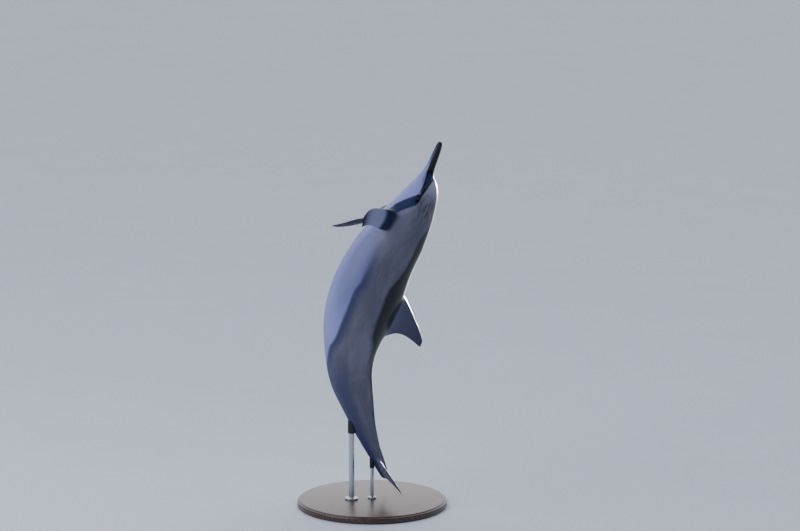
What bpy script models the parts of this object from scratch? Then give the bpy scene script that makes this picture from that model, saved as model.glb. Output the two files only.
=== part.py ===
"""A spinner dolphin in mid-leap: a life-size still model on a display stand.

Frame: metres, +Z up, origin at the centre of the stand's underside. The animal's plane of symmetry is
Y = 0. Its beak points up, its back faces +X, its belly -X and its left side -Y.

The body is one cage of rings along a bent spine. Fins grow out of patches of that cage, the whole is
smoothed by subdivision, and thin cuts part it into the pieces that have names.
"""

import math

import bmesh
import bpy
import numpy as np
from mathutils import Matrix, Vector

LENGTH = 1.90  # beak tip to the notch between the flukes
GAP = 0.0003  # clearance wherever two pieces meet
BEAK_TIP = (0.3535, 1.8760)  # X and Z
TAIL_END = 0.991  # last ring, as a part of the length

# Lean of the spine from straight down, in degrees, towards +X, at parts of the length from the beak tip.
LEAN = (
    (0.00, -24.5), (0.08, -22.3), (0.16, -24.0), (0.24, -32.0), (0.30, -34.0), (0.37, -28.5), (0.45, -22.5),
    (0.52, -18.5), (0.60, -8.5), (0.66, 0.5), (0.72, 12.0), (0.80, 20.0), (0.90, 24.0), (1.00, 22.0),
)

# Girth: along the body, then spine to back, spine to belly and spine to side, all in percent of the length.
GIRTH = (
    (0.0, 0.38, 0.36, 0.42),
    (1.0, 0.80, 0.52, 0.78),
    (2.5, 1.14, 0.72, 1.04),
    (5.0, 1.30, 0.80, 1.18),
    (8.0, 1.48, 1.12, 1.44),
    (9.5, 2.05, 1.56, 2.05),
    (11.0, 3.28, 2.02, 2.95),
    (13.0, 4.52, 2.74, 4.05),
    (15.0, 5.32, 3.64, 4.85),
    (18.0, 6.00, 4.68, 5.60),
    (22.0, 7.02, 5.87, 6.45),
    (26.0, 7.92, 6.98, 7.20),
    (30.0, 8.62, 7.87, 7.75),
    (36.0, 9.44, 8.72, 8.30),
    (44.0, 10.02, 9.12, 8.50),
    (50.0, 9.56, 8.84, 8.10),
    (56.0, 8.75, 7.72, 7.30),
    (62.0, 7.70, 6.24, 6.00),
    (68.0, 6.62, 5.22, 4.55),
    (74.0, 6.02, 3.98, 3.25),
    (80.0, 4.46, 2.98, 2.20),
    (86.0, 2.95, 2.45, 1.50),
    (92.0, 1.85, 1.75, 1.10),
    (96.0, 1.35, 1.30, 0.95),
    (100.0, 0.70, 0.70, 0.55),
)
KEEL = ((0.0, 0.0), (0.60, 0.0), (0.78, 0.45), (0.90, 0.45), (0.97, 0.10), (1.0, 0.0))  # pinch of the ridges

# Rings of the cage. A fin stands on the run of rings that has its name.
BEAK_RINGS = (0.003, 0.014, 0.037, 0.064, 0.085, 0.098, 0.112, 0.130, 0.150, 0.173, 0.197)
FLIPPER_RINGS = tuple(np.linspace(0.220, 0.280, 4))
CHEST_RINGS = (0.320, 0.370)
DORSAL_RINGS = tuple(np.linspace(0.420, 0.562, 5))
TAIL_RINGS = (0.600, 0.650, 0.705, 0.765, 0.830, 0.885)
FLUKE_RINGS = tuple(np.linspace(0.925, TAIL_END, 4))
RINGS = BEAK_RINGS + FLIPPER_RINGS + CHEST_RINGS + DORSAL_RINGS + TAIL_RINGS + FLUKE_RINGS
HALF_ROUND = (0, 15, 40, 66, 90, 113, 138, 160, 180)  # degrees round a ring, back to belly
ROUND = len(HALF_ROUND) * 2 - 2
FLUKE_COLUMN, FLIPPER_COLUMN = 4, 6

# Fins: distance out from the body, front edge, rear edge and thickness, in metres along the fin's chord.
DORSAL_FIN = (
    (0.012, 0.002, 0.226, 0.056),
    (0.055, 0.040, 0.187, 0.031),
    (0.110, 0.087, 0.186, 0.019),
    (0.162, 0.134, 0.200, 0.011),
    (0.199, 0.180, 0.211, 0.005),
)
FLIPPER = (
    (0.020, -0.066, 0.048, 0.040),
    (0.085, -0.058, 0.040, 0.026),
    (0.160, -0.049, 0.040, 0.017),
    (0.222, -0.026, 0.050, 0.010),
    (0.256, 0.018, 0.070, 0.004),
)
FLUKE = (
    (0.020, 0.012, 0.120, 0.021),
    (0.080, 0.046, 0.131, 0.014),
    (0.140, 0.086, 0.145, 0.010),
    (0.190, 0.130, 0.160, 0.006),
    (0.212, 0.160, 0.172, 0.003),
)
# Which way each side's fins reach, and which way their chord runs, as tailward, bellyward and outward parts.
FLIPPER_RADIAL = ((0.0, 0.70, 0.71), (1.0, 0.0, 0.0))
FLIPPER_POSE = {
    "left": ((0.03, 0.66, 0.75), (0.86, -0.46, 0.06)),
    "right": ((0.72, 0.45, 0.53), (-0.05, 0.60, -0.80)),
}
FLUKE_POSE = ((0.0, 0.0, 1.0), (1.0, 0.0, 0.0))
FLUKE_CURL = ((0.0, -0.14, 0.99), (1.0, 0.0, 0.0))
SHOULDER = 0.20  # part of a fin's reach over which it turns into its pose
BLUNTNESS = 2.6  # scales the fins' section, sqrt(x) * (1 - x), to its stated thickness
# The box that holds each kind of fin: lowest and highest corners along its chord, across it and out.
FIN_BOXES = {
    "dorsal": ((-0.030, -0.060, 0.010), (0.272, 0.060, 0.260)),
    "flipper": ((-0.110, -0.160, 0.010), (0.340, 0.160, 0.340)),
    "fluke": ((-0.085, -0.070, 0.030), (0.140, 0.090, 0.300)),
}

# Cuts across the spine, as parts of the length.
PIECES = (
    ("head", -0.018, 0.176),
    ("neck", 0.176, 0.203),
    ("chest", 0.203, 0.320),
    ("trunk_front", 0.320, 0.408),
    ("trunk_middle", 0.408, 0.575),
    ("loin", 0.575, 0.660),
    ("tail_stock_front", 0.660, 0.730),
    ("tail_stock_middle", 0.730, 0.862),
    ("tail_stock_rear", 0.862, 1.010),
)
REACH = 0.42  # half-size of the cutters that lie across the body

# Head: mouth line as parts of the length along and percent off the spine, eye and blowhole.
MOUTH = ((-0.010, -0.08), (0.030, 0.00), (0.080, -0.02), (0.105, -0.15), (0.125, -0.48), (0.143, -0.88))
MOUTH_POINTS, JAW_REACH, JAW_SLANT = 12, 0.12, 0.002
EYE_AT, EYE_ANGLE, EYE_RADIUS, EYE_SUNK = 0.161, 102.0, 0.0145, 0.0115
BLOWHOLE_AT, BLOWHOLE_RADIUS, BLOWHOLE_SLOT, BLOWHOLE_DEPTH = 0.168, 0.013, 0.003, 0.006
BLOWHOLE_SPREAD, BLOWHOLE_TURN = 65, 26  # degrees: half the crescent's arc, and between its points

# Stand: a round base, and two rods with flanged feet.
BASE_RADIUS, BASE_HEIGHT, BASE_EDGE = 0.380, 0.036, 0.006
RODS = {"stand_rod_front": (-0.105, 0.014, 0.560), "stand_rod_rear": (0.000, 0.009, 0.296)}  # X, radius, top
FOOT_WIDTH, FOOT_HEIGHT = 2.4, 0.012  # a foot's radius in rod radii, and its height
BASE_SIDES, ROD_SIDES, EYE_SIDES = 48, 14, 10  # how many facets go round
SMOOTH_UNDER = math.radians(40)  # edges that bend more than this stay sharp

SKIN_COLOURS = {
    "head": (0.10, 0.10, 0.13),
    "lower_jaw": (0.30, 0.30, 0.42),
    "dorsal_fin": (0.05, 0.05, 0.07),
    "flipper_left": (0.09, 0.09, 0.13),
    "flipper_right": (0.09, 0.09, 0.13),
    "fluke_left": (0.06, 0.06, 0.08),
    "fluke_right": (0.06, 0.06, 0.08),
}
FLANK_COLOUR = (0.14, 0.13, 0.18)


def through(knots):
    """A smooth curve through (position, value) pairs that never overshoots them."""
    at, value = np.array(knots, float).T
    step = np.diff(at)
    slope = np.diff(value) / step
    steady = slope[:-1] * slope[1:] > 0
    tangent = np.concatenate([slope[:1], np.zeros(len(at) - 2), slope[-1:]])
    tangent[1:-1][steady] = (2 * slope[:-1] * slope[1:])[steady] / (slope[:-1] + slope[1:])[steady]

    def curve(position):
        i = np.clip(np.searchsorted(at, position) - 1, 0, len(step) - 1)
        t = (position - at[i]) / step[i]
        rise = step[i] * (tangent[i] * t * (1 - t) ** 2 - tangent[i + 1] * t**2 * (1 - t))
        return value[i] * (1 + 2 * t) * (1 - t) ** 2 + value[i + 1] * t**2 * (3 - 2 * t) + rise

    return curve


lean_at = through(LEAN)
back_at, belly_at, side_at = (
    through([(row[0] / 100, row[column] / 100 * LENGTH) for row in GIRTH]) for column in (1, 2, 3)
)
keel_at = through(KEEL)
mouth_at = through([(along, off / 100 * LENGTH) for along, off in MOUTH])

SPINE_STEP, SPINE_LEAD = 0.001, 20  # parts of the length, and the steps before the beak tip
SPINE_AT = np.arange(-SPINE_LEAD, 1000 + SPINE_LEAD + 1) * SPINE_STEP
SPINE_LEAN = np.radians(lean_at(np.clip(SPINE_AT, 0.0, 1.0)))
WALK = np.cumsum([np.sin(SPINE_LEAN), -np.cos(SPINE_LEAN)], axis=1) * SPINE_STEP * LENGTH
SPINE_X, SPINE_Z = WALK - WALK[:, SPINE_LEAD, None] + np.array(BEAK_TIP)[:, None]


def spine(along):
    """Point on the spine, the way to the tail and the way to the back."""
    lean, x, z = (float(np.interp(along, SPINE_AT, values)) for values in (SPINE_LEAN, SPINE_X, SPINE_Z))
    tailward = Vector((math.sin(lean), 0.0, -math.cos(lean)))
    return Vector((x, 0.0, z)), tailward, Vector((math.cos(lean), 0.0, math.sin(lean)))


def surface(along, degrees):
    """Point on the body's surface, `degrees` round from the back over the left side."""
    centre, _, back = spine(along)
    turn = math.radians(degrees)
    depth = float(back_at(along) if math.cos(turn) > 0 else belly_at(along))
    width = math.copysign(abs(math.sin(turn)) ** (1 + float(keel_at(along))), math.sin(turn))
    return centre + back * (depth * math.cos(turn)) + Vector((0.0, -float(side_at(along)) * width, 0.0))


def controls(points, closed):
    """Cage points that subdivision carries through the given points, along the first axis."""
    count = len(points)
    mix = (np.eye(count) * 4 + np.eye(count, k=1) + np.eye(count, k=-1)) / 6
    if closed:
        mix[0, -1] = mix[-1, 0] = 1 / 6
    else:
        mix[0], mix[-1] = np.eye(count)[0], np.eye(count)[-1]
    return np.linalg.solve(mix, points.reshape(count, -1)).reshape(points.shape)


def aim(parts, along, outward):
    """A direction from its tailward, bellyward and outward parts."""
    _, tailward, back = spine(along)
    return (tailward * parts[0] - back * parts[1] + outward * parts[2]).normalized()


def fin_loops(root, rest, pose, upper, rows, shape):
    """Loops round a fin: front edge, upper face to the rear, rear edge, lower face to the front."""
    loops = []
    place, reached = root.copy(), 0.0
    across = [(i + 0.5) / rows for i in range(rows)]
    for out, front, rear, thick in shape:
        turned = min(out / (SHOULDER * shape[-1][0]), 1.0)
        span = rest[0].lerp(pose[0], turned).normalized()
        chord = rest[1].lerp(pose[1], turned)
        chord = (chord - span * chord.dot(span)).normalized()
        face = span.cross(chord)
        face *= math.copysign(1.0, face.dot(upper))
        place = place + span * (out - reached)
        reached = out
        faces = [(x, thick / 2 * BLUNTNESS * (1 - x) * math.sqrt(x)) for x in across]
        loop = [(0.0, 0.0), *faces, (1.0, 0.0), *[(x, -half) for x, half in reversed(faces)]]
        points = [place + chord * (front + (rear - front) * x) + face * half for x, half in loop]
        loops.append(controls(np.array(points), closed=True))
    return loops


def grow(cage, grid, rings, middle, side, loops):
    """Opens the patch of two columns beside `middle` over `rings`, and grows a fin's loops out of it."""
    first = RINGS.index(rings[0])
    rows = range(first, first + len(rings))
    upper, lower = (middle - side) % ROUND, (middle + side) % ROUND
    patch = {grid[row][column] for row in rows for column in (upper, middle, lower)}
    inner = [face for face in cage.faces if patch.issuperset(face.verts)]
    bmesh.ops.delete(cage, geom=inner, context="FACES_ONLY")
    loop = [grid[rows[0]][middle], *[grid[row][upper] for row in rows]]
    loop += [grid[rows[-1]][middle], *[grid[row][lower] for row in reversed(rows)]]
    for points in loops:
        outer = [cage.verts.new(point) for point in points]
        for k, vert in enumerate(loop):
            cage.faces.new((vert, loop[k - 1], outer[k - 1], outer[k]))
        loop = outer
    count = len(loop)
    cage.faces.new((loop[0], loop[1], loop[-1]))
    for k in range(1, count // 2 - 1):
        cage.faces.new((loop[k], loop[k + 1], loop[count - k - 1], loop[count - k]))
    cage.faces.new((loop[count // 2 - 1], loop[count // 2], loop[count // 2 + 1]))


def directions(parts, along, outward):
    return aim(parts[0], along, outward), aim(parts[1], along, outward)


def body_cage():
    """The whole animal as one coarse closed cage."""
    turns = [*HALF_ROUND, *[360 - degrees for degrees in HALF_ROUND[-2:0:-1]]]
    points = np.array([[surface(along, degrees) for degrees in turns] for along in RINGS])
    points = controls(controls(points, closed=False).swapaxes(0, 1), closed=True).swapaxes(0, 1)
    cage = bmesh.new()
    grid = [[cage.verts.new(point) for point in ring] for ring in points]
    for ahead, behind in zip(grid, grid[1:]):
        for k in range(ROUND):
            cage.faces.new((ahead[k - 1], ahead[k], behind[k], behind[k - 1]))
    cage.faces.new(grid[0])
    cage.faces.new(reversed(grid[-1]))

    root, chord, span = dorsal_root()
    loops = fin_loops(root, (span, chord), (span, chord), Vector((0, -1, 0)), len(DORSAL_RINGS), DORSAL_FIN)
    grow(cage, grid, DORSAL_RINGS, 0, -1, loops)
    for side, outward, turn in (("left", Vector((0, -1, 0)), 1), ("right", Vector((0, 1, 0)), -1)):
        root, along = flipper_root(turn)
        rest, pose = (directions(parts, along, outward) for parts in (FLIPPER_RADIAL, FLIPPER_POSE[side]))
        loops = fin_loops(root, rest, pose, spine(along)[2], len(FLIPPER_RINGS), FLIPPER)
        grow(cage, grid, FLIPPER_RINGS, turn * FLIPPER_COLUMN % ROUND, turn, loops)
        root = surface(FLUKE_RINGS[0], turn * HALF_ROUND[FLUKE_COLUMN])
        rest, pose = (directions(parts, FLUKE_RINGS[2], outward) for parts in (FLUKE_POSE, FLUKE_CURL))
        loops = fin_loops(root, rest, pose, spine(FLUKE_RINGS[2])[2], len(FLUKE_RINGS), FLUKE)
        grow(cage, grid, FLUKE_RINGS, turn * FLUKE_COLUMN % ROUND, turn, loops)
    bmesh.ops.delete(cage, geom=[vert for vert in cage.verts if not vert.link_faces], context="VERTS")
    bmesh.ops.recalc_face_normals(cage, faces=cage.faces)
    return mesh_of(cage, "body_cage")


def dorsal_root():
    """Front of the dorsal fin's base, the way along the base and the way out."""
    root, rear = surface(DORSAL_RINGS[0], 0), surface(DORSAL_RINGS[-1], 0)
    chord = (rear - root).normalized()
    return root, chord, chord.cross(Vector((0, 1, 0)))


def flipper_root(turn):
    along = FLIPPER_RINGS[len(FLIPPER_RINGS) // 2]
    return surface(along, turn * HALF_ROUND[FLIPPER_COLUMN]), along


def mesh_of(shape, name):
    mesh = bpy.data.meshes.new(name)
    shape.to_mesh(mesh)
    shape.free()
    return mesh


def settled(maker):
    """The mesh that an object's modifiers make."""
    bpy.context.view_layer.update()
    return bpy.data.meshes.new_from_object(maker.evaluated_get(bpy.context.evaluated_depsgraph_get()))


def material(name, colour, roughness, metallic=0.0):
    found = bpy.data.materials.get(name)
    if found:
        return found
    made = bpy.data.materials.new(name)
    made.use_nodes = True
    shader = made.node_tree.nodes["Principled BSDF"]
    shader.inputs["Base Color"].default_value = (*colour, 1.0)
    shader.inputs["Roughness"].default_value = roughness
    shader.inputs["Metallic"].default_value = metallic
    return made


def add_object(name, mesh, collection):
    made = bpy.data.objects.new(name, mesh)
    collection.objects.link(made)
    return made


def add_piece(name, mesh, finish):
    """An object of the model, with its own material even where it shares its mesh."""
    piece = add_object(name, mesh, parts)
    if not mesh.materials:
        mesh.materials.append(None)
    piece.material_slots[0].link = "OBJECT"
    piece.material_slots[0].material = finish
    return piece


def add_cutter(name, mesh):
    cutter = add_object(name, mesh, cutters)
    cutter.hide_render = True
    cutter.display_type = "WIRE"
    return cutter


def carve(piece, operation, *tools):
    for tool in tools:
        step = piece.modifiers.new(tool.name, "BOOLEAN")
        step.operation = operation
        step.solver = "EXACT"
        step.object = tool


def prism(outline, sweep):
    """A flat outline swept along a vector, as a closed mesh with its faces out."""
    shape = bmesh.new()
    face = shape.faces.new([shape.verts.new(point) for point in outline])
    swept = bmesh.ops.extrude_face_region(shape, geom=[face])
    moved = [item for item in swept["geom"] if isinstance(item, bmesh.types.BMVert)]
    bmesh.ops.translate(shape, verts=moved, vec=sweep)
    bmesh.ops.recalc_face_normals(shape, faces=shape.faces)
    if shape.calc_volume(signed=True) < 0:
        bmesh.ops.reverse_faces(shape, faces=shape.faces)
    return mesh_of(shape, "prism")


def hull_cutter(name, points):
    shape = bmesh.new()
    for point in points:
        shape.verts.new(point)
    bmesh.ops.convex_hull(shape, input=shape.verts)
    return add_cutter(name, mesh_of(shape, name))


def box_cutter(name, centre, axes, low, high):
    """A box with corners at `low` and `high` along three axes from its centre."""
    corners = [
        centre + axes[0] * x + axes[1] * y + axes[2] * z
        for x in (low[0], high[0])
        for y in (low[1], high[1])
        for z in (low[2], high[2])
    ]
    return hull_cutter(name, corners)


def slice_cutter(name, start, end):
    """The space between two planes across the spine, half a gap inside each."""
    corners = []
    for along, shift in ((start, GAP / 2), (end, -GAP / 2)):
        centre, tailward, back = spine(along)
        for depth in (-REACH, REACH):
            for width in (-REACH, REACH):
                corners.append(centre + tailward * shift + back * depth + Vector((0, width, 0)))
    return hull_cutter(name, corners)


def fin_cutters():
    """Two boxes for each fin: what belongs to the fin, and the same grown by a gap, to cut from the body."""
    root, chord, span = dorsal_root()
    places = {"dorsal_fin": (root, (chord, Vector((0, 1, 0)), span))}
    for side, turn in (("left", 1), ("right", -1)):
        root, along = flipper_root(turn)
        degrees = turn * HALF_ROUND[FLIPPER_COLUMN]
        chord = (surface(FLIPPER_RINGS[-1], degrees) - surface(FLIPPER_RINGS[0], degrees)).normalized()
        rise = surface(along, degrees + 5 * turn) - surface(along, degrees - 5 * turn)
        out = rise.cross(chord).normalized() * turn
        places["flipper_" + side] = (root, (chord, chord.cross(out), out))
        centre, tailward, back = spine(FLUKE_RINGS[2])
        places["fluke_" + side] = (centre, (tailward, back, Vector((0, -turn, 0))))
    made = {}
    for name, (centre, axes) in places.items():
        low, high = (Vector(corner) for corner in FIN_BOXES[name.split("_")[0]])
        gap = Vector((GAP, GAP, GAP))
        keep = box_cutter(name + "_keep", centre, axes, low, high)
        made[name] = keep, box_cutter(name + "_cut", centre, axes, low - gap, high + gap)
    return made


def jaw_cutter(name, grow_by):
    """The space below the mouth line, back to the corner of the mouth, grown by a clearance."""
    outline = []
    start, end = MOUTH[0][0], MOUTH[-1][0]
    for along in np.linspace(start, end, MOUTH_POINTS):
        centre, tailward, back = spine(along)
        outline.append(centre + back * (float(mouth_at(along)) + grow_by))
    outline[-1] += tailward * grow_by
    for along in (end + JAW_SLANT, start):
        centre, tailward, back = spine(along)
        outline.append(centre - back * JAW_REACH + tailward * grow_by)
    near_side = [point + Vector((0, -REACH / 2, 0)) for point in outline]
    return add_cutter(name, prism(near_side, Vector((0, REACH, 0))))


def eye_centre(turn):
    centre = spine(EYE_AT)[0]
    skin = surface(EYE_AT, turn * EYE_ANGLE)
    return skin + (centre - skin).normalized() * EYE_SUNK


def ball(radius):
    shape = bmesh.new()
    bmesh.ops.create_uvsphere(shape, u_segments=EYE_SIDES, v_segments=EYE_SIDES // 2 + 2, radius=radius)
    return mesh_of(shape, "ball")


def blowhole_cutter():
    """A crescent slot across the top of the head, open towards the beak."""
    centre, tailward, _ = spine(BLOWHOLE_AT)
    top = surface(BLOWHOLE_AT, 0)
    out = (top - centre).normalized()
    arc = range(-BLOWHOLE_SPREAD, BLOWHOLE_SPREAD + 1, BLOWHOLE_TURN)
    rim = []
    for side, turns in ((1, arc), (-1, reversed(arc))):
        for degrees in turns:
            angle = math.radians(degrees)
            reach = BLOWHOLE_RADIUS + side * BLOWHOLE_SLOT / 2 * math.cos(angle)
            point = top + Vector((0, math.sin(angle) * reach, 0)) + tailward * (math.cos(angle) * reach)
            rim.append(point - tailward * BLOWHOLE_RADIUS - out * BLOWHOLE_DEPTH)
    return add_cutter("blowhole", prism(rim, out * BLOWHOLE_DEPTH * 3))


def cylinder(radius, height, segments=ROD_SIDES):
    """A cylinder that stands on the origin."""
    shape = bmesh.new()
    bmesh.ops.create_cone(
        shape, cap_ends=True, segments=segments, radius1=radius, radius2=radius, depth=height,
        matrix=Matrix.Translation((0, 0, height / 2)),
    )
    return mesh_of(shape, "cylinder")


def turned(name, profile):
    """A mesh with a Screw about Z; the profile is radius and height, from top to bottom."""
    shape = bmesh.new()
    points = [shape.verts.new((radius, 0, height)) for radius, height in profile]
    for pair in zip(points, points[1:]):
        shape.edges.new(pair)
    piece = add_piece(name, mesh_of(shape, name), material("brushed_steel", (0.55, 0.56, 0.58), 0.3, 1.0))
    screw = piece.modifiers.new("turn", "SCREW")
    screw.steps = screw.render_steps = ROD_SIDES
    screw.use_merge_vertices = True
    screw.merge_threshold = 0.00005
    return piece


def build_stand():
    wood = material("walnut", (0.09, 0.05, 0.03), 0.4)
    base = add_piece("stand_base", cylinder(BASE_RADIUS, BASE_HEIGHT, BASE_SIDES), wood)
    edge = base.modifiers.new("edge", "BEVEL")
    edge.width = BASE_EDGE
    edge.segments = 1
    edge.limit_method = "ANGLE"
    for name, (x, radius, top) in RODS.items():
        height = top - BASE_HEIGHT - GAP
        foot = radius * FOOT_WIDTH
        profile = (
            (0, height), (radius * 0.8, height), (radius, height - radius * 0.2), (radius, FOOT_HEIGHT),
            (foot * 0.94, FOOT_HEIGHT), (foot, FOOT_HEIGHT * 0.75), (foot, 0), (0, 0),
        )
        turned(name, profile).location = (x, 0, BASE_HEIGHT + GAP)


def build_body():
    """Subdivides the cage, then parts it: fins first, then slices across the spine, jaw, eyes and sockets."""
    whole = add_cutter("whole_body", body_cage())
    smooth = whole.modifiers.new("smooth", "SUBSURF")
    smooth.levels = smooth.render_levels = 1
    form = add_cutter("body_form", settled(whole))
    trimmed = add_cutter("body_without_fins", form.data)
    flank = material("flank_skin", FLANK_COLOUR, 0.35)
    for name, (keep, cut) in fin_cutters().items():
        carve(trimmed, "DIFFERENCE", cut)
        fin = add_piece(name, form.data, material(name + "_skin", SKIN_COLOURS[name], 0.35))
        carve(fin, "INTERSECT", keep)
    carcass = settled(trimmed)
    pieces = {}
    for name, start, end in PIECES:
        finish = material(name + "_skin", SKIN_COLOURS[name], 0.35) if name in SKIN_COLOURS else flank
        piece = pieces[name] = add_piece(name, carcass, finish)
        carve(piece, "INTERSECT", slice_cutter(name + "_slice", start, end))
    jaw = add_piece("lower_jaw", carcass, material("lower_jaw_skin", SKIN_COLOURS["lower_jaw"], 0.35))
    carve(jaw, "INTERSECT", jaw_cutter("jaw_keep", -GAP))
    carve(pieces["head"], "DIFFERENCE", jaw_cutter("jaw_cut", 0.0), blowhole_cutter())
    for side, turn in (("left", 1), ("right", -1)):
        eye = add_piece("eye_" + side, ball(EYE_RADIUS), material("eye", (0.01, 0.01, 0.01), 0.05))
        eye.location = eye_centre(turn)
        socket = add_cutter("socket_" + side, ball(EYE_RADIUS + 2 * GAP))
        socket.location = eye.location
        carve(pieces["head"], "DIFFERENCE", socket)
    for name, host in (("stand_rod_front", "tail_stock_middle"), ("stand_rod_rear", "tail_stock_rear")):
        x, radius, top = RODS[name]
        bore = add_cutter(name + "_bore", cylinder(radius + 2 * GAP, top + 2 * GAP))
        bore.location = (x, 0, 0)
        carve(pieces[host], "DIFFERENCE", bore)


def finish_meshes():
    for piece in parts.objects:
        piece.data.shade_smooth()
        piece.data.set_sharp_from_angle(angle=SMOOTH_UNDER)


for existing in list(bpy.data.objects):
    bpy.data.objects.remove(existing)
parts = bpy.data.collections.new("spinner_dolphin")
cutters = bpy.data.collections.new("cutters")
for collection in (parts, cutters):
    bpy.context.scene.collection.children.link(collection)
build_body()
build_stand()
finish_meshes()
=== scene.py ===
"""A spinner dolphin in mid-leap: one seamless wet skin, gloss eyes, and a walnut and steel display stand.

Frame: metres, +Z up, origin at the centre of the stand's underside. The animal's plane of symmetry is
Y = 0. Its beak points up, its back faces +X, its belly -X and its left side -Y.

The skin is the solids' own cage of rings and fins, subdivided finely. Lids, mouth, crease, blowhole and
folds are then moved into it, and its markings are distances to their edges, which the material reads.
"""

import math

import bmesh
import bpy
import numpy as np
from mathutils import Matrix, Vector
from mathutils.bvhtree import BVHTree


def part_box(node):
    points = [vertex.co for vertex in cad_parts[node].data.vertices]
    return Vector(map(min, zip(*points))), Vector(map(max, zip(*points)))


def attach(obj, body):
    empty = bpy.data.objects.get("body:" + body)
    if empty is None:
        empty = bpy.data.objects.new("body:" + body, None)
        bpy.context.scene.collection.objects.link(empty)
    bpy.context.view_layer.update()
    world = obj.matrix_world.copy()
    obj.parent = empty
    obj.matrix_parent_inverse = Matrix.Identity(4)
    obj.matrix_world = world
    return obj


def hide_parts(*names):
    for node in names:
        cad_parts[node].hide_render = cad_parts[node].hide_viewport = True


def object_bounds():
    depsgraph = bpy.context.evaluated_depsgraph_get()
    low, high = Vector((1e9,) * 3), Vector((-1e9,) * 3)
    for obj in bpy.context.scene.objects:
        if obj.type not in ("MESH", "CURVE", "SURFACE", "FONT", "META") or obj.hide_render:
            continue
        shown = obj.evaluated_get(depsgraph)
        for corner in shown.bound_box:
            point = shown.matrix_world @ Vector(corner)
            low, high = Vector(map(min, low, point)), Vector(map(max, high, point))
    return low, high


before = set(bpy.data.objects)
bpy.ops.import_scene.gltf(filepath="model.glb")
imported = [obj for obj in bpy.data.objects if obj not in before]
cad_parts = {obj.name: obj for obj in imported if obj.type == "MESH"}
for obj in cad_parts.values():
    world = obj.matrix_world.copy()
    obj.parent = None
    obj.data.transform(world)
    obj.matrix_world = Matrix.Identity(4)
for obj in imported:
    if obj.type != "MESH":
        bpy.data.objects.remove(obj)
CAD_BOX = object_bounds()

MM = 0.001

# ---------------------------------------------------------------- the body's form, as in the solids
LENGTH = 1.90  # beak tip to the notch between the flukes
BEAK_TIP = (0.3535, 1.8760)  # X and Z
TAIL_END = 0.991  # last ring, as a part of the length

# Lean of the spine from straight down, in degrees, towards +X, at parts of the length from the beak tip.
LEAN = (
    (0.00, -24.5), (0.08, -22.3), (0.16, -24.0), (0.24, -32.0), (0.30, -34.0), (0.37, -28.5), (0.45, -22.5),
    (0.52, -18.5), (0.60, -8.5), (0.66, 0.5), (0.72, 12.0), (0.80, 20.0), (0.90, 24.0), (1.00, 22.0),
)

# Girth: along the body, then spine to back, spine to belly and spine to side, all in percent of the length.
GIRTH = (
    (0.0, 0.38, 0.36, 0.42),
    (1.0, 0.80, 0.52, 0.78),
    (2.5, 1.14, 0.72, 1.04),
    (5.0, 1.30, 0.80, 1.18),
    (8.0, 1.48, 1.12, 1.44),
    (9.5, 2.05, 1.56, 2.05),
    (11.0, 3.28, 2.02, 2.95),
    (13.0, 4.52, 2.74, 4.05),
    (15.0, 5.32, 3.64, 4.85),
    (18.0, 6.00, 4.68, 5.60),
    (22.0, 7.02, 5.87, 6.45),
    (26.0, 7.92, 6.98, 7.20),
    (30.0, 8.62, 7.87, 7.75),
    (36.0, 9.44, 8.72, 8.30),
    (44.0, 10.02, 9.12, 8.50),
    (50.0, 9.56, 8.84, 8.10),
    (56.0, 8.75, 7.72, 7.30),
    (62.0, 7.70, 6.24, 6.00),
    (68.0, 6.62, 5.22, 4.55),
    (74.0, 6.02, 3.98, 3.25),
    (80.0, 4.46, 2.98, 2.20),
    (86.0, 2.95, 2.45, 1.50),
    (92.0, 1.85, 1.75, 1.10),
    (96.0, 1.35, 1.30, 0.95),
    (100.0, 0.70, 0.70, 0.55),
)
KEEL = ((0.0, 0.0), (0.60, 0.0), (0.78, 0.45), (0.90, 0.45), (0.97, 0.10), (1.0, 0.0))  # pinch of the ridges

# Rings of the cage. A fin stands on the run of rings that has its name.
BEAK_RINGS = (0.003, 0.014, 0.037, 0.064, 0.085, 0.098, 0.112, 0.130, 0.150, 0.173, 0.197)
FLIPPER_RINGS = tuple(np.linspace(0.220, 0.280, 4))
CHEST_RINGS = (0.320, 0.370)
DORSAL_RINGS = tuple(np.linspace(0.420, 0.562, 5))
TAIL_RINGS = (0.600, 0.650, 0.705, 0.765, 0.830, 0.885)
FLUKE_RINGS = tuple(np.linspace(0.925, TAIL_END, 4))
RINGS = BEAK_RINGS + FLIPPER_RINGS + CHEST_RINGS + DORSAL_RINGS + TAIL_RINGS + FLUKE_RINGS
HALF_ROUND = (0, 15, 40, 66, 90, 113, 138, 160, 180)  # degrees round a ring, back to belly
ROUND = len(HALF_ROUND) * 2 - 2
FLUKE_COLUMN, FLIPPER_COLUMN = 4, 6

# Fins: distance out from the body, front edge, rear edge and thickness, in metres along the fin's chord.
DORSAL_FIN = (
    (0.012, 0.002, 0.226, 0.056),
    (0.055, 0.040, 0.187, 0.031),
    (0.110, 0.087, 0.186, 0.019),
    (0.162, 0.134, 0.200, 0.011),
    (0.199, 0.180, 0.211, 0.005),
)
FLIPPER = (
    (0.020, -0.066, 0.048, 0.040),
    (0.085, -0.058, 0.040, 0.026),
    (0.160, -0.049, 0.040, 0.017),
    (0.222, -0.026, 0.050, 0.010),
    (0.256, 0.018, 0.070, 0.004),
)
FLUKE = (
    (0.020, 0.012, 0.120, 0.021),
    (0.080, 0.046, 0.131, 0.014),
    (0.140, 0.086, 0.145, 0.010),
    (0.190, 0.130, 0.160, 0.006),
    (0.212, 0.160, 0.172, 0.003),
)
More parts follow.
